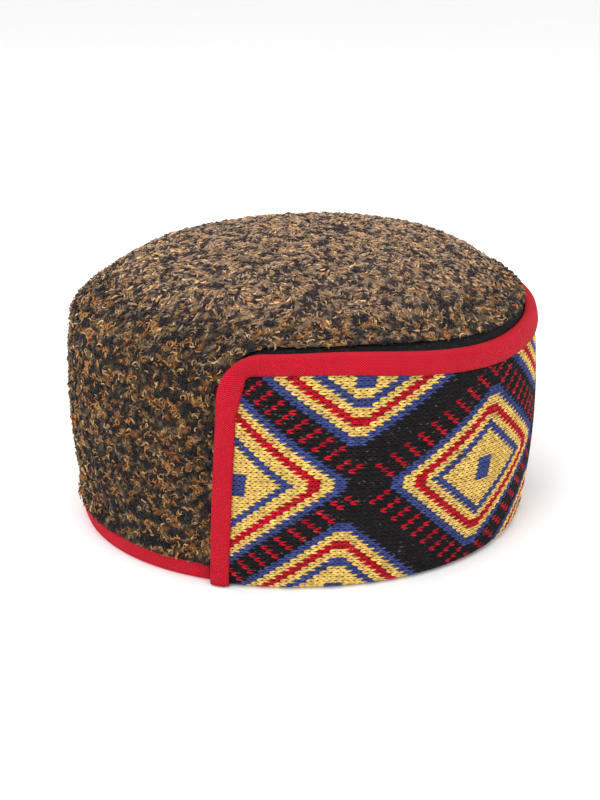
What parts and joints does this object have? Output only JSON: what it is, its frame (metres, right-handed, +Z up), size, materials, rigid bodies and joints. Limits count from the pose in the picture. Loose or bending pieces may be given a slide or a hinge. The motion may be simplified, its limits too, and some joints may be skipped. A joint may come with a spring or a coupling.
{
  "type": "wool cap",
  "caption": "Round wool cap with a curly woollen crown, a soft shoulder, and a diamond-patterned knitted ear flap turned up round the sides and back, bound with red tape.",
  "frame": {"origin": "centre of the cap's outline, on the surface that its lower edge rests on", "axes": "+Z up through the top of the crown, -Y to the front, where the flap is open, and +X to the wearer's left"},
  "size_m": [0.1958, 0.2184, 0.1297],
  "materials": {
    "boucle_top": "curly wool, taupe with brown and charcoal flecks",
    "boucle_side": "curly wool, tan and orange-brown over charcoal",
    "black_twill": "black twill",
    "patterned_knit": "knitted diamonds in yellow, blue and red on black",
    "red_tape": "fine scarlet twill tape"
  },
  "bodies": {
    "root": {"top_panel": "boucle_top", "side_wall": "boucle_side", "under_band": "black_twill", "flap": "patterned_knit", "flap_binding": "red_tape", "hem_binding": "red_tape"}
  },
  "joints": []
}
